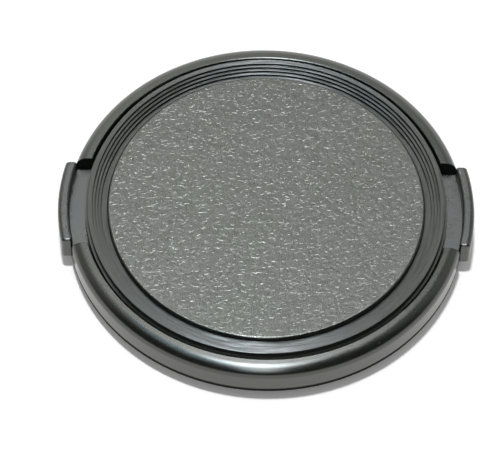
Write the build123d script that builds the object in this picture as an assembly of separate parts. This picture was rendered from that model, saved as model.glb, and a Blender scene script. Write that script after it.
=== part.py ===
from build123d import *
import os

# Clip-on lens cap with two sprung side buttons, lying front side up. Millimetres.
# X runs through the buttons and +Z is the front.
# The origin is on the cap's axis, level with the lowest edge of the jaws.

# Lens interface
thread_diameter = 58.0      # filter thread that the jaws grip
thread_pitch = 0.75
thread_rib_height = 0.40
jaw_depth = 2.0             # how far the jaws stand behind the ring's rear face

# Ring with its rounded front bead
ring_overhang = 1.75        # ring's outer radius beyond the thread's
ring_height = 5.29
bead_outer_round = 1.77
bead_flat = 0.54
bead_inner_round = 0.24
ring_rear_round = 0.30

# Floor plate at the rear of the ring
seat_clearance = 0.25       # ring's seat on the lens, outside the thread
floor_recess = 0.15         # floor's rear face in front of the seat
floor_thickness = 0.85
slot_clearance = 0.30       # round the jaw, over its whole travel

# Front cover with its staircase of fine steps
cover_gap = 0.27            # between the cover's lip and the bead
lip_width = 0.35            # low lip round the cover's edge
lip_drop = 1.00             # from the cover's top to its lip
cover_base_thickness = 0.80
cover_edge_width = 0.78
step_count = 4
step_tread = 0.437
step_rise = 0.38
step_edge_round = 0.09
moat_width = 0.94           # flat ring round the raised middle
plateau_rise = 0.47
plateau_wall = 1.00
inlay_thickness = 0.40
inlay_edge_round = 0.38

# Cover seats and pegs
ledge_width = 1.20
boss_diameter = 4.0
boss_inset = 4.20           # boss centres inside the edge of the raised middle
boss_angle = 60.0           # from the X axis
peg_diameter = 2.0
peg_length = 1.60
peg_clearance = 0.05

# Side buttons
button_travel = 1.30
grip_chord = 14.90
grip_thickness = 1.75
grip_standout = 1.37        # grip's outer face beyond the ring's
grip_height = 4.58
grip_top_round = 0.70       # outer front edge
grip_edge_round = 0.45      # other long edges
grip_end_round = 0.40
grip_corner_round = 0.60    # outer corners, seen from the front
notch_clearance = 0.47      # between a grip's end and the end of its notch
neck_inset = 0.05           # neck's sides inside the grip's ends
neck_edge_round = 0.30
sill_thickness = 0.50       # ring that runs on below a notch
sill_clearance = 0.12
slide_clearance = 0.12
slide_thickness = 2.18
slide_depth = 5.50          # of the wide plate behind the jaw
jaw_chord = 22.0
jaw_thickness = 1.25
tongue_width = 6.0
rail_width = 1.20
rail_height = 1.40

# Springs and their stop
spring_diameter = 1.90
spring_wire = 0.28
spring_turns = 7
spring_runs = 10            # straight runs of wire in a turn
spring_wire_sides = 6
spring_length = 8.0
spring_seat_gap = 0.05
stop_length = 2.50
stop_width = 6.0
post_clearance = 0.10
post_length = 1.50

# Radii, from the thread outwards and then inwards
thread_radius = thread_diameter / 2
ring_outer_radius = thread_radius + ring_overhang
ring_inner_radius = ring_outer_radius - bead_outer_round - bead_flat - bead_inner_round
seat_radius = thread_radius + seat_clearance
lip_radius = ring_inner_radius - cover_gap
cover_radius = lip_radius - lip_width
top_step_radius = cover_radius - cover_edge_width
moat_radius = top_step_radius - (step_count - 1) * step_tread
inlay_radius = moat_radius - moat_width
ledge_radius = ring_inner_radius - ledge_width
boss_circle_radius = inlay_radius - boss_inset
jaw_outer_radius = ring_inner_radius - slide_clearance
jaw_inner_radius = jaw_outer_radius - jaw_thickness
grip_outer_radius = ring_outer_radius + grip_standout
grip_inner_radius = grip_outer_radius - grip_thickness
post_diameter = spring_diameter - 2 * spring_wire - 2 * post_clearance

# Levels, from the jaws up to the front
ring_rear = jaw_depth
ring_top = ring_rear + ring_height
floor_rear = ring_rear + floor_recess
floor_top = floor_rear + floor_thickness
slide_bottom = floor_top + slide_clearance
slide_top = slide_bottom + slide_thickness
slide_middle = (slide_bottom + slide_top) / 2
cover_bottom = slide_top + slide_clearance
moat_level = cover_bottom + cover_base_thickness
cover_top = moat_level + step_count * step_rise
lip_level = cover_top - lip_drop
plateau_level = moat_level + plateau_rise
cavity_top = plateau_level - plateau_wall
sill_top = ring_rear + sill_thickness
grip_bottom = sill_top + sill_clearance

# Places across the cap, on the right-hand side
grip_half = grip_chord / 2
notch_half = grip_half + notch_clearance
neck_half = grip_half - neck_inset
jaw_half = jaw_chord / 2
slot_half = jaw_half + slot_clearance
slide_inner = jaw_inner_radius - slide_depth
stop_face = stop_length / 2
tongue_end = stop_face + spring_length
rail_start = tongue_end - button_travel
rail_end = slide_inner - button_travel - slot_clearance
rail_offset = tongue_width / 2 + slide_clearance + rail_width / 2
reach = 2 * grip_outer_radius   # larger than the cap, for cutting tools


def revolved(points, rounds=()):
    """Turns an outline of (radius, level) points round the cap's axis.

    rounds holds pairs of a point's place in the list and the radius of its rounded corner.
    """
    outline = make_face(Polyline(*points, close=True))
    for index, radius in rounds:
        corner = outline.vertices().sort_by_distance(Vector(*points[index]))[0]
        outline = fillet(corner, radius)
    return revolve(Plane.XZ * outline, Axis.Z)


def disc(radius, bottom, top):
    return Pos(0, 0, bottom) * extrude(Circle(radius), top - bottom)


def block(x_range, half_width, bottom, top):
    """A box between two X values, centred on the X axis."""
    length = x_range[1] - x_range[0]
    centre = Pos((x_range[0] + x_range[1]) / 2, 0, bottom)
    return centre * extrude(Rectangle(length, 2 * half_width), top - bottom)


def tube(outer, inner, bottom, top):
    return disc(outer, bottom, top) - disc(inner, bottom, top)


def rod_along_x(x_range, diameter):
    """A round bar on the springs' axis."""
    start = Plane(origin=(x_range[0], 0, slide_middle), z_dir=(1, 0, 0))
    return extrude(start * Circle(diameter / 2), x_range[1] - x_range[0])


def both_sides(piece):
    """The piece and its copy turned half round the cap's axis."""
    return piece + Rot(0, 0, 180) * piece


def boss_places():
    """Centres of the four cover bosses."""
    for angle in (boss_angle, 180 - boss_angle, 180 + boss_angle, -boss_angle):
        yield Rot(0, 0, angle) * Pos(boss_circle_radius, 0, 0)


def make_ring_body():
    """Ring, floor, notches and jaw slots, with the seats for the cover, buttons and springs."""
    body = revolved(
        [
            (0, floor_rear),
            (seat_radius, floor_rear),
            (seat_radius, ring_rear),
            (ring_outer_radius, ring_rear),
            (ring_outer_radius, ring_top),
            (ring_inner_radius, ring_top),
            (ring_inner_radius, floor_top),
            (0, floor_top),
        ],
        [(3, ring_rear_round), (4, bead_outer_round), (5, bead_inner_round)],
    )
    ledge = tube(ring_inner_radius, ledge_radius, floor_top, cover_bottom)
    body += ledge - block((-reach, reach), slot_half, floor_top, cover_bottom)

    notch = block((0, reach), notch_half, sill_top, ring_top)
    notch -= disc(ring_inner_radius, sill_top, ring_top)
    slot = block((0, reach), slot_half, floor_rear, floor_top)
    slot &= disc(ring_inner_radius, floor_rear, floor_top)
    pressed_jaw = Pos(-button_travel - slot_clearance, 0, 0)
    slot -= pressed_jaw * disc(jaw_inner_radius, floor_rear, floor_top)
    body -= both_sides(notch + slot)

    rail = block((rail_start, rail_end), rail_width / 2, floor_top, floor_top + rail_height)
    rail = Pos(0, rail_offset, 0) * rail
    post = rod_along_x((stop_face, stop_face + post_length), post_diameter)
    body += both_sides(rail + mirror(rail, Plane.XZ) + post)
    body += block((-stop_face, stop_face), stop_width / 2, floor_top, cavity_top)

    boss = disc(boss_diameter / 2, floor_top, cavity_top)
    socket = disc(peg_diameter / 2 + peg_clearance, cavity_top - peg_length - peg_clearance, cavity_top)
    for place in boss_places():
        body += place * (boss - socket)
    return body


def make_front_cover():
    """Round front plate: a low lip, four steps down to a moat round the raised middle, and pegs behind."""
    staircase = []
    rounds = []
    for step in range(step_count):
        wall = top_step_radius - step * step_tread
        level = cover_top - step * step_rise
        staircase += [(wall, level), (wall, level - step_rise)]
        rounds.append((6 + 2 * step, step_edge_round))
    cover = revolved(
        [
            (inlay_radius - plateau_wall, cavity_top),
            (inlay_radius - plateau_wall, cover_bottom),
            (lip_radius, cover_bottom),
            (lip_radius, lip_level),
            (cover_radius, lip_level),
            (cover_radius, cover_top),
            *staircase,
            (inlay_radius, moat_level),
            (inlay_radius, plateau_level),
            (0, plateau_level),
            (0, cavity_top),
        ],
        [(5, step_edge_round), *rounds],
    )
    for place in boss_places():
        cover += place * disc(peg_diameter / 2, cavity_top - peg_length, cavity_top)
    return cover


def make_front_inlay():
    """Embossed disc on the raised middle, with its top edge rolled over."""
    top = plateau_level + inlay_thickness
    return revolved(
        [(0, plateau_level), (inlay_radius, plateau_level), (inlay_radius, top), (0, top)],
        [(2, inlay_edge_round)],
    )


def make_grip():
    """Curved bar that the finger presses, with a soft front edge and rounded outer corners."""
    grip_top = grip_bottom + grip_height
    bar = revolved(
        [
            (grip_inner_radius, grip_bottom),
            (grip_outer_radius, grip_bottom),
            (grip_outer_radius, grip_top),
            (grip_inner_radius, grip_top),
        ],
        [(1, grip_edge_round), (2, grip_top_round), (3, grip_edge_round)],
    )
    bar &= block((0, reach), grip_half, grip_bottom, grip_top)
    ends = bar.faces().sort_by(Axis.Y)
    bar = fillet(ends[0].edges() + ends[-1].edges(), grip_end_round)

    centre_y = grip_half - grip_corner_round
    centre_x = ((grip_outer_radius - grip_corner_round) ** 2 - centre_y ** 2) ** 0.5
    spread = 1 + 3 * grip_corner_round / (grip_outer_radius - grip_corner_round)
    waste = make_face(
        Polyline(
            (centre_x, centre_y),
            (centre_x, grip_half + 2 * grip_corner_round),
            (centre_x * spread, grip_half + 2 * grip_corner_round),
            (centre_x * spread, centre_y * spread),
            close=True,
        )
    )
    waste -= Pos(centre_x, centre_y) * Circle(grip_corner_round)
    waste = Pos(0, 0, grip_bottom) * extrude(waste, grip_height)
    return bar - waste - mirror(waste, Plane.XZ)


def make_jaw():
    """Curved jaw: a wall through the floor slot, and a lip behind the ring with thread ribs."""
    lip_top = floor_rear - slide_clearance
    root = thread_radius - thread_rib_height
    lip = [(jaw_inner_radius, 0), (root, 0)]
    for rib in range(int(lip_top / thread_pitch)):
        start = rib * thread_pitch
        crest = start + thread_pitch / 2
        lip += [(thread_radius, crest), (root, start + thread_pitch)]
    lip += [(root, lip_top), (jaw_inner_radius, lip_top)]
    wall = tube(jaw_outer_radius, jaw_inner_radius, 0, slide_top)
    return (wall + revolved(lip)) & block((0, reach), jaw_half, 0, slide_top)


def make_button():
    """Right-hand button: grip, neck through the notch, slide plate, tongue and jaw in one moulding."""
    neck_face = Rectangle(2 * neck_half, slide_thickness)
    neck_face = fillet(neck_face.vertices().group_by(Axis.Y)[-1], neck_edge_round)
    neck_start = Plane(origin=(slide_inner, 0, slide_middle), x_dir=(0, 1, 0), z_dir=(1, 0, 0))
    neck = extrude(neck_start * neck_face, reach)
    neck &= disc(grip_inner_radius + grip_thickness / 2, slide_bottom, slide_top)

    plate = block((slide_inner, reach), jaw_half, slide_bottom, slide_top)
    plate &= disc(jaw_outer_radius, slide_bottom, slide_top)
    tongue = block((tongue_end, slide_inner + tongue_width), tongue_width / 2, slide_bottom, slide_top)
    post = rod_along_x((tongue_end - post_length, tongue_end), post_diameter)
    return make_jaw() + plate + neck + make_grip() + tongue + post


def make_spring():
    """Right-hand coil spring between the stop and the button's tongue, bent in short straight runs."""
    radius = (spring_diameter - spring_wire) / 2
    start = stop_face + spring_wire / 2 + spring_seat_gap
    coil_length = spring_length - spring_wire - 2 * spring_seat_gap
    runs = spring_turns * spring_runs
    points = []
    for run in range(runs + 1):
        along_coil = Pos(start + coil_length * run / runs, 0, slide_middle)
        turned = Rot(360 * run / spring_runs, 0, 0) * Pos(0, radius, 0)
        points.append((along_coil * turned).position)
    path = Polyline(*points)
    wire = Plane(origin=path @ 0, z_dir=path % 0) * RegularPolygon(spring_wire / 2, spring_wire_sides)
    return sweep(wire, path, transition=Transition.RIGHT)


button = make_button()
spring = make_spring()
half_turn = Rot(0, 0, 180)
nodes = {
    "ring_body": make_ring_body(),
    "front_cover": make_front_cover(),
    "front_inlay": make_front_inlay(),
    "right_button": button,
    "left_button": half_turn * button,
    "right_spring": spring,
    "left_spring": half_turn * spring,
}

os.makedirs("parts", exist_ok=True)
for name, solid in nodes.items():
    export_step(solid, f"parts/{name}.step")
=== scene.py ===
import math

import bpy
from mathutils import Matrix, Vector, noise


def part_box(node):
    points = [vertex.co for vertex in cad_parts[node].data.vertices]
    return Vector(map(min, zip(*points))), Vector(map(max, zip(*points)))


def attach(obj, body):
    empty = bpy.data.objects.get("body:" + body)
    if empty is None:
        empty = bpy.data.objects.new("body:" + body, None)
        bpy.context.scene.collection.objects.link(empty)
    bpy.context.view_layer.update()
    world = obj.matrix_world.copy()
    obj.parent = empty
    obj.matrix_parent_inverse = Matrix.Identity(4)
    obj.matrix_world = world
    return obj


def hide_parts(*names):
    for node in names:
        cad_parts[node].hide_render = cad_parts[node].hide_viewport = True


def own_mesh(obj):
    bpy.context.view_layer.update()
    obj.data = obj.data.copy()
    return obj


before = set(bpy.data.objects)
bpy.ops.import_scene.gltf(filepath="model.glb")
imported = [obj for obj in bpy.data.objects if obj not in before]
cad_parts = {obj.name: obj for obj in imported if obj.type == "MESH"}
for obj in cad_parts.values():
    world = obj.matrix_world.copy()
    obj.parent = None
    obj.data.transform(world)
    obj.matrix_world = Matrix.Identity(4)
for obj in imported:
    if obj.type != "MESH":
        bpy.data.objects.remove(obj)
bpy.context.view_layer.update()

MM = 0.001

# Camera, in millimetres and degrees
IMAGE_WIDTH = 500
FOCAL_PIXELS = 2600.0
SENSOR_WIDTH = 36.0
CAMERA_AIM = Vector((-2.447, -5.891, 7.0))
CAMERA_DISTANCE = 397.72
CAMERA_AZIMUTH = 0.391
CAMERA_ELEVATION = 55.781
CAMERA_ROLL = 1.153

# Lamp, fill and floor, in metres
KEY_PLACE = (-0.03, -0.02, 0.80)
KEY_DIAMETER = 0.06
KEY_POWER = 4.3
FILL_STRENGTH = 0.38
FLOOR_SIZE = 0.44
FLOOR_GREY = (0.8, 0.8, 0.8, 1)
FLOOR_LIFT = 0.08
WHITE = (1, 1, 1, 1)

# Room that the gloss shows. Each ramp holds the two ends of a span of the direction's X, Y or Z,
# and then the values at those ends
CEILING_MIDDLE = (-0.12, 0.50, 0.86)
CEILING_FOCUS = 6.0
CEILING_LEVELS = (0, 1, 0.02, 1.50)
CEILING_SIDEWAYS = (-0.15, 0.15, 1.14, 0.72)
BACKDROP = (0.55, 0.85, 0, 1.50)
SIDES = (0.25, 0.60, 0, 0.55)
SIDES_BACK = (-0.30, 0.20, 0, 1)
TABLE = (-0.02, 0, 1, 0)
PANEL_OVERHEAD = (-0.45, -0.05, 0, 14.4)
PANEL_FRONT = (-0.95, -0.65, 0, 6.4)
PANEL_BACK = (0.36, 0.55, 1, 0)
PANEL_MIDDLE = (0.10, 0.50, -0.022, 0.014)
PANEL_NARROWING = (0.10, 0.50, 1, 3.6)
PANEL_EDGE = (0.075, 0.155, 1, 0)
PANEL_TINT = (0, 2, 0, 1)
PANEL_COLOUR = (0.86, 0.90, 1.0, 1)
WINDOW_LEFT = (-0.50, -0.38, 0, 1)
WINDOW_RIGHT = (-0.16, -0.05, 1, 0)
WINDOW_FRONT = (-0.60, -0.40, 0, 1.0)
WINDOW_BACK = (0.0, 0.2, 1, 0)
WINDOW_TINT = (0.25, 0.40, 1, 0)
WINDOW_COLOUR = (0.58, 0.81, 1.0, 1)

# Places where shade is painted by taking their gloss away, in millimetres: the ring's notches and the foot of
# its wall, and the near part of the cover's ledge in the seam.
# Then the slopes of faces that count as upright, whose shade is painted the same way, and the gloss that these
# places keep
NOTCH_HALF = 7.93
NOTCH_SILL = 2.45
FOOT_RADIUS = 30.40
FOOT_TOP = 3.10
FOOT_FADE = 0.40
LEDGE_RADIUS = 27.60
LEDGE_TOP = 6.90
LEDGE_FADE = 0.05
LEDGE_NEAR = -20.0
LEDGE_FAR = -14.0
UPRIGHT = (0.3, 0.6, 1, 0)
SHADE_GLOSS = 0.15

# Bead round the ring, in millimetres: the circle at the middle of its round, the round's radius,
# where its top starts, the slope of that top, and how far below the round the mesh may lie
BEAD_CIRCLE = 28.98
BEAD_LEVEL = 5.52
BEAD_ROUND = 1.77
BEAD_START = 28.42
BEAD_SLOPE = 0.03
BEAD_DEPTHS = (0.05, 0.03)

# Dust on every surface, and turning marks on the cover: how finely they change across and round it
DUST_SCALE = 420.0
DUST_EDGE = (0.027, 0.045, 1, 0)
MARKS_ACROSS = 2200.0
MARKS_ROUND = 5.0
MARKS_STRETCH = 0.77
QUARTER_TURN = 0.25

# Leatherette's wrinkles and fine grain, in metres: first the spacing, width and half lengths of the long
# and the short wrinkles
LONG_WRINKLES = (0.00160, 0.00006, (0.00015, 0.00060))
SHORT_WRINKLES = (0.00090, 0.00005, (0.0001, 0.00034))
WRINKLE_SLOPE = 0.33
WRINKLE_SLANT = (0, 1, -0.35, 0.35)
WRINKLE_STRENGTH = (0, 1, 0.5, 1.0)
WRINKLE_ROUGHNESS = 0.08
FINE_DEPTH = 0.00002
FINE_GLOSS = (0.4, 0.6, 0.43, 1.41)
PEBBLE_GLOSS = (0.35, 0.65, 0.90, 1.10)

# Leatherette grain, in millimetres
GRAIN_RINGS = 178
EDGE_RINGS = 8
GRAIN_CELL = 1.30
GRAIN_DEPTH = 0.018
GRAIN_CREASE = 0.30
GRAIN_EDGE = 0.38
EDGE_START = 24.20
EDGE_FADE = 0.1
BEND_LAYER = 3.7
BEND_SCALE = 0.55
BEND_SIZE = 0.55
PATCH_LAYER = 9.1
PATCH_SCALE = 0.9
PATCH_CONTRAST = 1.3
PATCH_LEAST = 0.25

# Coil springs, in millimetres
SPRING_DIAMETER = 1.90
SPRING_WIRE = 0.28
SPRING_TURNS = 7
STEPS_PER_TURN = 36
WIRE_SIDES = 12
SPRING_START = 1.44
SPRING_END = 9.06
SPRING_LEVEL = 4.21


def add_camera():
    """The photo's camera."""
    azimuth, elevation, roll = map(math.radians, (CAMERA_AZIMUTH, CAMERA_ELEVATION, CAMERA_ROLL))
    forward = Vector((
        math.sin(azimuth) * math.cos(elevation),
        math.cos(azimuth) * math.cos(elevation),
        -math.sin(elevation),
    ))
    level = forward.cross(Vector((0, 0, 1))).normalized()
    upright = level.cross(forward)
    right = level * math.cos(roll) + upright * math.sin(roll)
    up = upright * math.cos(roll) - level * math.sin(roll)
    camera = bpy.data.objects.new("camera", bpy.data.cameras.new("camera"))
    camera.data.sensor_width = SENSOR_WIDTH
    camera.data.lens = FOCAL_PIXELS / IMAGE_WIDTH * SENSOR_WIDTH
    camera.data.clip_start = 0.01
    place = Matrix((right, up, -forward)).transposed().to_4x4()
    place.translation = (CAMERA_AIM - forward * CAMERA_DISTANCE) * MM
    camera.matrix_world = place
    bpy.context.scene.collection.objects.link(camera)
    bpy.context.scene.camera = camera


def add_key():
    """A compact lamp overhead, which casts the shadows and leaves no glint."""
    lamp = bpy.data.lights.new("key", "AREA")
    lamp.shape = "DISK"
    lamp.size = KEY_DIAMETER
    lamp.energy = KEY_POWER
    key = bpy.data.objects.new("key", lamp)
    key.location = KEY_PLACE
    key.visible_glossy = False
    bpy.context.scene.collection.objects.link(key)


def add(tree, kind, inputs=None, **settings):
    """A new shader node, with its settings and the values of its sockets."""
    node = tree.nodes.new("ShaderNode" + kind)
    for name, value in settings.items():
        setattr(node, name, value)
    for name, value in (inputs or {}).items():
        node.inputs[name].default_value = value
    return node


def connect(tree, value, socket):
    """Links another node's output to a socket, or sets the socket to a value."""
    if isinstance(value, bpy.types.NodeSocket):
        tree.links.new(value, socket)
    else:
        socket.default_value = value


def calculate(tree, operation, *values):
    """The result of a Math node. Each value is a number or another node's output."""
    node = add(tree, "Math", operation=operation)
    for socket, value in zip(node.inputs, values):
        connect(tree, value, socket)
    return node.outputs["Value"]


def multiply(tree, value, *others):
    """The product of several values."""
    for other in others:
        value = calculate(tree, "MULTIPLY", value, other)
    return value


def vector_math(tree, operation, *values, output="Vector"):
    """A result of a Vector Math node. Each value is a vector or another node's output."""
    node = add(tree, "VectorMath", operation=operation)
    for socket, value in zip(node.inputs, values):
        connect(tree, value, socket)
    return node.outputs[output]


def scaled(tree, vector, factor):
    """A vector times a number."""
    node = add(tree, "VectorMath", operation="SCALE")
    connect(tree, vector, node.inputs[0])
    connect(tree, factor, node.inputs["Scale"])
    return node.outputs["Vector"]


def split(tree, vector):
    """The X, Y and Z of a vector."""
    node = add(tree, "SeparateXYZ")
    tree.links.new(vector, node.inputs["Vector"])
    return tuple(node.outputs[axis] for axis in "XYZ")


def along_z(tree, length):
    """A vector along Z."""
    node = add(tree, "CombineXYZ")
    tree.links.new(length, node.inputs["Z"])
    return node.outputs["Vector"]


def to_world(tree, vector, kind):
    """A vector or normal of the object, in the world's axes."""
    node = add(tree, "VectorTransform", vector_type=kind, convert_from="OBJECT", convert_to="WORLD")
    tree.links.new(vector, node.inputs["Vector"])
    return node.outputs["Vector"]


def blend(tree, factor, start, end, kind="RGBA"):
    """A colour, number or vector that is start where the factor is 0, and end where it is 1."""
    node = add(tree, "Mix", data_type=kind)
    for name, value in (("Factor", factor), ("A", start), ("B", end)):
        connect(tree, value, node.inputs[name])
    return node.outputs["Result"]


def texture(tree, kind, coords, output, **inputs):
    """An output of a texture node."""
    node = add(tree, "Tex" + kind, inputs)
    tree.links.new(coords, node.inputs["Vector"])
    return node.outputs[output]


def ramp(tree, value, low, high, start, end, curve="LINEAR"):
    """A value that runs from start to end while the input runs from low to high."""
    limits = {"From Min": low, "From Max": high, "To Min": start, "To Max": end}
    node = add(tree, "MapRange", limits, interpolation_type=curve)
    tree.links.new(value, node.inputs["Value"])
    return node.outputs["Result"]


def seen_directly(tree, *flags):
    """1 for rays of the named kinds, and 0 for the rest."""
    path = add(tree, "LightPath")
    value = path.outputs[flags[0]]
    for flag in flags[1:]:
        value = calculate(tree, "MAXIMUM", value, path.outputs[flag])
    return value


def room_in_gloss(tree):
    """Brightness and colour of the room that the gloss shows: a ceiling that is brightest behind the cap,
    dim walls, a pale backdrop, a white table, a soft panel that runs overhead from back to front, and a
    cool window on the left."""
    direction = add(tree, "TexCoord").outputs["Generated"]
    x, y, z = split(tree, direction)
    ceiling = vector_math(tree, "DOT_PRODUCT", direction, CEILING_MIDDLE, output="Value")
    ceiling = calculate(tree, "POWER", calculate(tree, "MAXIMUM", ceiling, 0.0), CEILING_FOCUS)
    ceiling = multiply(tree, ramp(tree, ceiling, *CEILING_LEVELS), ramp(tree, x, *CEILING_SIDEWAYS))
    sides = multiply(tree, ramp(tree, calculate(tree, "ABSOLUTE", x), *SIDES), ramp(tree, y, *SIDES_BACK))
    walls = calculate(tree, "MAXIMUM", ramp(tree, y, *BACKDROP), sides)
    walls = calculate(tree, "MAXIMUM", walls, ramp(tree, z, *TABLE))
    panel = calculate(tree, "ADD", ramp(tree, y, *PANEL_OVERHEAD), ramp(tree, y, *PANEL_FRONT))
    panel = multiply(tree, panel, ramp(tree, y, *PANEL_BACK, "SMOOTHSTEP"))
    sideways = calculate(tree, "SUBTRACT", x, ramp(tree, y, *PANEL_MIDDLE))
    sideways = multiply(tree, calculate(tree, "ABSOLUTE", sideways), ramp(tree, y, *PANEL_NARROWING))
    panel = multiply(tree, panel, ramp(tree, sideways, *PANEL_EDGE, "SMOOTHSTEP"))
    colour = blend(tree, ramp(tree, panel, *PANEL_TINT), WHITE, PANEL_COLOUR)
    left = multiply(tree, ramp(tree, x, *WINDOW_RIGHT), ramp(tree, x, *WINDOW_LEFT))
    window = multiply(tree, left, ramp(tree, y, *WINDOW_FRONT), ramp(tree, y, *WINDOW_BACK))
    colour = blend(tree, multiply(tree, left, ramp(tree, y, *WINDOW_TINT)), colour, WINDOW_COLOUR)
    bright = calculate(tree, "ADD", calculate(tree, "MAXIMUM", ceiling, walls), panel)
    return calculate(tree, "ADD", bright, window), colour


def add_world():
    """White to the camera, a plain fill for the object, and a room in its gloss."""
    world = bpy.data.worlds.new("studio")
    world.use_nodes = True
    tree = world.node_tree
    background = tree.nodes["Background"]
    gloss = seen_directly(tree, "Is Glossy Ray")
    room, room_colour = room_in_gloss(tree)
    plain = ramp(tree, seen_directly(tree, "Is Camera Ray", "Is Transmission Ray"), 0, 1, FILL_STRENGTH, 1)
    tree.links.new(blend(tree, gloss, plain, room, "FLOAT"), background.inputs["Strength"])
    tree.links.new(blend(tree, gloss, WHITE, room_colour), background.inputs["Color"])
    bpy.context.scene.world = world


def new_material(name):
    """A material with its node tree and its shader."""
    material = bpy.data.materials.new(name)
    material.use_nodes = True
    tree = material.node_tree
    return material, tree, tree.nodes["Principled BSDF"]


def add_floor():
    """A table that looks white and keeps the cap's shadow."""
    half = FLOOR_SIZE / 2
    corners = [(-half, -half, 0), (half, -half, 0), (half, half, 0), (-half, half, 0)]
    mesh = bpy.data.meshes.new("floor")
    mesh.from_pydata(corners, [], [(0, 1, 2, 3)])
    floor = bpy.data.objects.new("floor", mesh)
    bpy.context.scene.collection.objects.link(floor)
    material, tree, shader = new_material("white_table")
    shader.inputs["Roughness"].default_value = 0.9
    shader.inputs["Specular IOR Level"].default_value = 0.0
    shader.inputs["Emission Color"].default_value = WHITE
    direct = seen_directly(tree, "Is Camera Ray", "Is Glossy Ray", "Is Transmission Ray")
    tree.links.new(blend(tree, direct, FLOOR_GREY, WHITE), shader.inputs["Base Color"])
    tree.links.new(ramp(tree, direct, 0, 1, 0, FLOOR_LIFT), shader.inputs["Emission Strength"])
    mesh.materials.append(material)


def vary_colour(tree, coords, scale, dark, light, dust):
    """A colour that drifts between two shades, with specks of dust."""
    shades = add(tree, "ValToRGB")
    for element, position, shade in zip(shades.color_ramp.elements, (0.3, 0.7), (dark, light)):
        element.position = position
        element.color = (*shade, 1)
    drift = texture(tree, "Noise", coords, "Fac", Scale=scale, Detail=5.0, Roughness=0.6)
    tree.links.new(drift, shades.inputs["Fac"])
    specks = ramp(tree, texture(tree, "Voronoi", coords, "Distance", Scale=DUST_SCALE), *DUST_EDGE)
    return blend(tree, specks, shades.outputs["Color"], (*dust, 1))


def vary_roughness(tree, coords, scale, low, high):
    """A roughness that drifts between two values."""
    wear = texture(tree, "Noise", coords, "Fac", Scale=scale, Detail=6.0, Roughness=0.65)
    return ramp(tree, wear, 0.3, 0.7, low, high)


def bumped(tree, height, depth, normal=None):
    """The surface normal, or a given one, with bumps of a depth."""
    bump = add(tree, "Bump", {"Strength": 1.0, "Distance": depth})
    tree.links.new(height, bump.inputs["Height"])
    if normal is not None:
        tree.links.new(normal, bump.inputs["Normal"])
    return bump.outputs["Normal"]


def flat_place(tree, coords):
    """Coordinates without their height."""
    return vector_math(tree, "MULTIPLY", coords, (1, 1, 0))


def axis_distance(tree, coords):
    """Distance from the cap's axis."""
    return vector_math(tree, "LENGTH", flat_place(tree, coords), output="Value")


def outward(tree, coords):
    """Direction away from the cap's axis."""
    return vector_math(tree, "NORMALIZE", flat_place(tree, coords))


def leaning_normal(tree, direction, slope):
    """The surface normal, leant in a direction of the object by a slope."""
    lean = to_world(tree, scaled(tree, direction, slope), "VECTOR")
    normal = add(tree, "NewGeometry").outputs["Normal"]
    return vector_math(tree, "NORMALIZE", vector_math(tree, "ADD", normal, lean))


def turned_coords(tree, coords):
    """Coordinates that run outwards from the cap's axis and round it, for marks left by turning."""
    distance = along_z(tree, axis_distance(tree, coords))
    spread = scaled(tree, outward(tree, coords), MARKS_ROUND)
    return vector_math(tree, "MULTIPLY_ADD", distance, (0, 0, MARKS_ACROSS), spread)


def true_round(tree, coords):
    """The surface normal, which on the bead is that of the exact round instead of the mesh's."""
    level = split(tree, coords)[2]
    across = calculate(tree, "SUBTRACT", axis_distance(tree, coords), BEAD_CIRCLE * MM)
    above = calculate(tree, "SUBTRACT", level, BEAD_LEVEL * MM)
    lean = calculate(tree, "MAXIMUM", across, multiply(tree, above, BEAD_SLOPE))
    offset = vector_math(tree, "ADD", scaled(tree, outward(tree, coords), lean), along_z(tree, above))
    distance = vector_math(tree, "LENGTH", offset, output="Value")
    on_round = multiply(
        tree,
        ramp(tree, distance, *((BEAD_ROUND - depth) * MM for depth in BEAD_DEPTHS), 0, 1),
        calculate(tree, "GREATER_THAN", across, (BEAD_START - BEAD_CIRCLE) * MM),
        calculate(tree, "GREATER_THAN", above, 0.0),
    )
    exact = vector_math(tree, "NORMALIZE", to_world(tree, offset, "NORMAL"))
    normal = add(tree, "NewGeometry").outputs["Normal"]
    return blend(tree, on_round, normal, exact, "VECTOR")


def inside_notches(tree, coords):
    """1 between the ends of the notches, above their sills, and 0 elsewhere."""
    _, y, z = split(tree, coords)
    between = calculate(tree, "LESS_THAN", calculate(tree, "ABSOLUTE", y), NOTCH_HALF * MM)
    return multiply(tree, between, calculate(tree, "GREATER_THAN", z, NOTCH_SILL * MM))


def outside_below(tree, coords, radius, top, fade):
    """1 farther from the cap's axis than a radius and below a level, and 0 elsewhere."""
    level = split(tree, coords)[2]
    outside = calculate(tree, "GREATER_THAN", axis_distance(tree, coords), radius * MM)
    return multiply(tree, outside, ramp(tree, level, (top - fade) * MM, top * MM, 1, 0))


def ring_painted_shade(tree, coords):
    """Mask of painted shade: 1 in the ring's notches and at the foot of its wall, where gloss is taken away so
    that they render dark, and 0 elsewhere.
    """
    foot = outside_below(tree, coords, FOOT_RADIUS, FOOT_TOP, FOOT_FADE)
    return calculate(tree, "MAXIMUM", inside_notches(tree, coords), foot)


def upright_faces(tree):
    """1 on upright faces, and 0 on level ones."""
    lean = split(tree, add(tree, "TexCoord").outputs["Normal"])[2]
    return ramp(tree, calculate(tree, "ABSOLUTE", lean), *UPRIGHT)


def cover_painted_shade(tree, coords):
    """Mask of painted shade: 1 on the upright faces of the cover's steps and on the near part of its ledge,
    where gloss is taken away so that they render dark, and 0 elsewhere.
    """
    ledge = outside_below(tree, coords, LEDGE_RADIUS, LEDGE_TOP, LEDGE_FADE)
    near = ramp(tree, split(tree, coords)[1], LEDGE_NEAR * MM, LEDGE_FAR * MM, 1, 0)
    return calculate(tree, "MAXIMUM", upright_faces(tree), multiply(tree, ledge, near))


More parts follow.
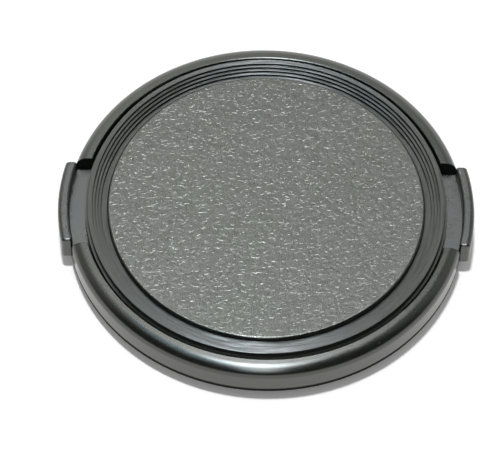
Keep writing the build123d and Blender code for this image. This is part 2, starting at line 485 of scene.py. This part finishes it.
def moulded_plastic(
    name, dark, light, roughness, peel, tint=(0.97, 1.0, 0.95), painted_shade=None, rounded=False, turned=0.0
):
    """Black moulded plastic. peel is the depth of its fine texture, painted_shade gives a mask where gloss is
    taken away to paint shade, rounded gives the bead its exact round, and turned is the slope of circular
    marks."""
    material, tree, shader = new_material(name)
    shader.inputs["Specular Tint"].default_value = (*tint, 1)
    coords = add(tree, "TexCoord").outputs["Object"]
    colour = vary_colour(tree, coords, 110.0, dark, light, (0.10, 0.10, 0.095))
    tree.links.new(colour, shader.inputs["Base Color"])
    rough, gloss = vary_roughness(tree, coords, 500.0, *roughness), 1.0
    # Painted shade: where the mask is 1, roughness rises to 1 and the specular level drops to the kept gloss,
    # so that the place renders dark.
    if painted_shade:
        shade_mask = painted_shade(tree, coords)
        rough = calculate(tree, "MAXIMUM", rough, shade_mask)
        gloss = ramp(tree, shade_mask, 0, 1, 1.0, SHADE_GLOSS)
    tree.links.new(rough, shader.inputs["Roughness"])
    connect(tree, gloss, shader.inputs["Specular IOR Level"])
    normal = None
    if rounded:
        normal = true_round(tree, coords)
    if turned:
        shader.inputs["Anisotropic"].default_value = MARKS_STRETCH
        shader.inputs["Anisotropic Rotation"].default_value = QUARTER_TURN
        around = add(tree, "Tangent", direction_type="RADIAL", axis="Z")
        tree.links.new(around.outputs["Tangent"], shader.inputs["Tangent"])
        place = turned_coords(tree, coords)
        marks = texture(tree, "Noise", place, "Fac", Scale=1.0, Detail=3.0, Roughness=0.6)
        slope = ramp(tree, marks, 0.2, 0.8, -turned, turned)
        normal = leaning_normal(tree, outward(tree, coords), slope)
    fine = texture(tree, "Noise", coords, "Fac", Scale=5200.0, Detail=2.0)
    tree.links.new(bumped(tree, fine, peel, normal), shader.inputs["Normal"])
    return material


def wrinkles(tree, coords, spacing, width, lengths):
    """Strength of short wrinkles across the cap, one in a cell, and 0 between them."""
    cells = add(tree, "TexVoronoi", {"Scale": 1 / spacing}, voronoi_dimensions="2D")
    tree.links.new(coords, cells.inputs["Vector"])
    x, y, _ = split(tree, vector_math(tree, "SUBTRACT", coords, cells.outputs["Position"]))
    chance = add(tree, "SeparateColor")
    tree.links.new(cells.outputs["Color"], chance.inputs["Color"])
    slant = ramp(tree, chance.outputs["Red"], *WRINKLE_SLANT)
    half_length = ramp(tree, chance.outputs["Green"], 0, 1, *lengths)
    strength = ramp(tree, chance.outputs["Blue"], *WRINKLE_STRENGTH)
    across = calculate(tree, "MULTIPLY_ADD", x, slant, y)
    along = calculate(tree, "DIVIDE", calculate(tree, "ABSOLUTE", x), half_length)
    ends = multiply(tree, ramp(tree, along, 0.6, 1, 1, 0), strength)
    sides = ramp(tree, calculate(tree, "ABSOLUTE", across), 0.4 * width, 0.6 * width, 1, 0)
    return multiply(tree, sides, ends)


def leatherette():
    """Black embossed leatherette: short wrinkles across the cap on a fine grain, and a rolled edge coloured
    near black as painted shade.
    """
    material, tree, shader = new_material("leatherette")
    shader.inputs["Specular Tint"].default_value = (0.98, 1.0, 0.845, 1)
    coords = add(tree, "TexCoord").outputs["Object"]
    edge = ramp(tree, axis_distance(tree, coords), EDGE_START * MM, (EDGE_START + EDGE_FADE) * MM, 0, 1)
    dark, light, dust = (0.038, 0.043, 0.038), (0.048, 0.046, 0.049), (0.32, 0.32, 0.30)
    colour = vary_colour(tree, coords, 90.0, dark, light, dust)
    # Painted shade: the rolled edge is coloured near black, for the shade in the groove round the disc.
    colour = blend(tree, edge, colour, (0.008, 0.0085, 0.007, 1))
    tree.links.new(colour, shader.inputs["Base Color"])
    long_ones, short_ones = (wrinkles(tree, coords, *sizes) for sizes in (LONG_WRINKLES, SHORT_WRINKLES))
    ridges = calculate(tree, "MAXIMUM", long_ones, short_ones)
    polish = calculate(tree, "MAXIMUM", edge, ridges)
    rough = vary_roughness(tree, coords, 900.0, 0.26, 0.34)
    rough = blend(tree, polish, rough, WRINKLE_ROUGHNESS, "FLOAT")
    # Painted shade on the disc's upright side: it gets roughness 1 and little gloss, so that it renders dark.
    painted_shade = upright_faces(tree)
    tree.links.new(calculate(tree, "MAXIMUM", rough, painted_shade), shader.inputs["Roughness"])
    fine = texture(tree, "Noise", coords, "Fac", Scale=5500.0, Detail=2.0)
    pebbles = texture(tree, "Noise", coords, "Fac", Scale=1500.0, Detail=1.0)
    gloss = multiply(tree, ramp(tree, fine, *FINE_GLOSS), ramp(tree, pebbles, *PEBBLE_GLOSS))
    gloss = multiply(tree, gloss, ramp(tree, painted_shade, 0, 1, 1, SHADE_GLOSS))
    tree.links.new(gloss, shader.inputs["Specular IOR Level"])
    normal = leaning_normal(tree, (0, -1, 0), multiply(tree, ridges, WRINKLE_SLOPE))
    tree.links.new(bumped(tree, fine, FINE_DEPTH, normal), shader.inputs["Normal"])
    return material


def spring_steel():
    """Bright drawn wire with a fine texture."""
    material, tree, shader = new_material("spring_steel")
    shader.inputs["Metallic"].default_value = 1.0
    coords = add(tree, "TexCoord").outputs["Object"]
    dark, light, dust = (0.50, 0.50, 0.50), (0.66, 0.66, 0.65), (0.35, 0.33, 0.30)
    tree.links.new(vary_colour(tree, coords, 900.0, dark, light, dust), shader.inputs["Base Color"])
    tree.links.new(vary_roughness(tree, coords, 2500.0, 0.22, 0.38), shader.inputs["Roughness"])
    fine = texture(tree, "Noise", coords, "Fac", Scale=9000.0, Detail=2.0)
    tree.links.new(bumped(tree, fine, 0.000004), shader.inputs["Normal"])
    return material


def dress(node, material):
    """Gives a CAD node's own mesh a material."""
    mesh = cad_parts[node].data
    mesh.materials.clear()
    mesh.materials.append(material)


def disc_points(radii):
    """Points on rings round a centre point: ring k holds 6 k points."""
    points = [(0.0, 0.0)]
    for ring, radius in enumerate(radii, start=1):
        for step in range(6 * ring):
            angle = 2 * math.pi * step / (6 * ring)
            points.append((radius * math.cos(angle), radius * math.sin(angle)))
    return points


def ring_start(ring):
    """Index of a ring's first point."""
    return 0 if ring == 0 else 1 + 3 * ring * (ring - 1)


def disc_triangles(rings):
    """Triangles between the rings of a disc's points."""
    triangles = []
    for ring in range(rings):
        inner, outer = ring_start(ring), ring_start(ring + 1)
        inner_count, outer_count = max(1, 6 * ring), 6 * (ring + 1)
        for sector in range(6):
            for step in range(ring + 1):
                out = sector * (ring + 1) + step
                here = inner + (sector * ring + step) % inner_count
                after = outer + (out + 1) % outer_count
                triangles.append((here, outer + out, after))
                if step < ring:
                    triangles.append((here, after, inner + (sector * ring + step + 1) % inner_count))
    return triangles


def grain_drop(x, y):
    """How far the grain's creases lie below the surface, in millimetres."""
    bend = noise.noise_vector(Vector((x, y, BEND_LAYER)) * BEND_SCALE) * BEND_SIZE
    place = Vector((x / GRAIN_CELL, y / GRAIN_CELL, 0)) + Vector((bend.x, bend.y, 0))
    near = noise.voronoi(place)[0]
    edge = (near[1] - near[0]) * GRAIN_CELL
    crease = math.exp(-((edge / GRAIN_CREASE) ** 2))
    patch = 0.5 + PATCH_CONTRAST * noise.noise(Vector((x, y, PATCH_LAYER)) * PATCH_SCALE)
    strength = PATCH_LEAST + (1 - PATCH_LEAST) * min(1.0, max(0.0, patch))
    return GRAIN_DEPTH * crease * strength


def add_piece(name, vertices, faces, material, node):
    """A smooth mesh on the cap that stands for a CAD node."""
    mesh = bpy.data.meshes.new(name)
    mesh.from_pydata(vertices, [], faces)
    mesh.polygons.foreach_set("use_smooth", [True] * len(mesh.polygons))
    mesh.materials.append(material)
    piece = bpy.data.objects.new(name, mesh)
    bpy.context.scene.collection.objects.link(piece)
    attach(piece, "cap")
    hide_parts(node)
    return piece


def make_inlay():
    """Leatherette disc with a soft grain and a rolled edge."""
    low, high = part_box("front_inlay")
    radius = high.x / MM
    top, bottom = high.z / MM, low.z / MM
    flat_radius = radius - GRAIN_EDGE
    flat_rings = GRAIN_RINGS - EDGE_RINGS
    radii = [flat_radius * ring / flat_rings for ring in range(1, flat_rings + 1)]
    drops = [0.0] * flat_rings
    for ring in range(1, EDGE_RINGS + 1):
        angle = math.pi / 2 * ring / EDGE_RINGS
        radii.append(flat_radius + GRAIN_EDGE * math.sin(angle))
        drops.append(GRAIN_EDGE * (1 - math.cos(angle)))
    points = disc_points(radii)
    vertices = [(0, 0, (top - grain_drop(0, 0)) * MM)]
    for ring, drop in enumerate(drops, start=1):
        fade = 1 - drop / GRAIN_EDGE
        for x, y in points[ring_start(ring):ring_start(ring + 1)]:
            vertices.append((x * MM, y * MM, (top - drop - fade * grain_drop(x, y)) * MM))
    faces = disc_triangles(GRAIN_RINGS)
    rim = ring_start(GRAIN_RINGS)
    count = 6 * GRAIN_RINGS
    foot = len(vertices)
    for x, y in points[rim:]:
        vertices.append((x * MM, y * MM, bottom * MM))
    for step in range(count):
        after = (step + 1) % count
        faces.append((rim + after, rim + step, foot + step, foot + after))
    faces.append(tuple(foot + step for step in reversed(range(count))))
    add_piece("leatherette", vertices, faces, leatherette(), "front_inlay")


def make_spring(side, node, material):
    """Round wire coiled between the stop and a button. side is 1 on the right and -1 on the left."""
    radius = (SPRING_DIAMETER - SPRING_WIRE) / 2
    steps = SPRING_TURNS * STEPS_PER_TURN
    pitch = (SPRING_END - SPRING_START) / (2 * math.pi * SPRING_TURNS)
    vertices = []
    for step in range(steps + 1):
        angle = 2 * math.pi * step / STEPS_PER_TURN
        outwards = Vector((0, math.cos(angle), math.sin(angle)))
        along = Vector((pitch, -radius * math.sin(angle), radius * math.cos(angle))).normalized()
        across = along.cross(outwards)
        centre = Vector((SPRING_START + pitch * angle, 0, SPRING_LEVEL)) + radius * outwards
        for side_step in range(WIRE_SIDES):
            turn = 2 * math.pi * side_step / WIRE_SIDES
            point = centre + SPRING_WIRE / 2 * (math.cos(turn) * outwards + math.sin(turn) * across)
            vertices.append((side * point.x * MM, side * point.y * MM, point.z * MM))
    faces = []
    for step in range(steps):
        for side_step in range(WIRE_SIDES):
            here, there = step * WIRE_SIDES, (step + 1) * WIRE_SIDES
            after = (side_step + 1) % WIRE_SIDES
            faces.append((here + side_step, here + after, there + after, there + side_step))
    faces.append(tuple(reversed(range(WIRE_SIDES))))
    faces.append(tuple(steps * WIRE_SIDES + k for k in range(WIRE_SIDES)))
    spring = add_piece(node + "_coil", vertices, faces, material, node)
    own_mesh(spring)


bpy.context.scene.view_settings.view_transform = "Standard"
add_camera()
add_world()
add_key()
add_floor()
# The ring's notches and the foot of its wall get painted shade.
ring_plastic = moulded_plastic(
    "ring_plastic", (0.008, 0.009, 0.0075), (0.012, 0.0135, 0.0115), (0.17, 0.24), 0.000001,
    tint=(0.98, 1.0, 0.90), painted_shade=ring_painted_shade, rounded=True,
)
# The cover's risers and the near part of its ledge in the seam get painted shade.
cover_plastic = moulded_plastic(
    "cover_plastic", (0.013, 0.0145, 0.0125), (0.018, 0.020, 0.017), (0.28, 0.34), 0.000004,
    painted_shade=cover_painted_shade, turned=0.22,
)
button_plastic = moulded_plastic(
    "button_plastic", (0.009, 0.010, 0.0085), (0.014, 0.0155, 0.013), (0.24, 0.34), 0.000004,
)
dress("ring_body", ring_plastic)
dress("front_cover", cover_plastic)
dress("right_button", button_plastic)
dress("left_button", button_plastic)
make_inlay()
steel = spring_steel()
make_spring(1, "right_spring", steel)
make_spring(-1, "left_spring", steel)
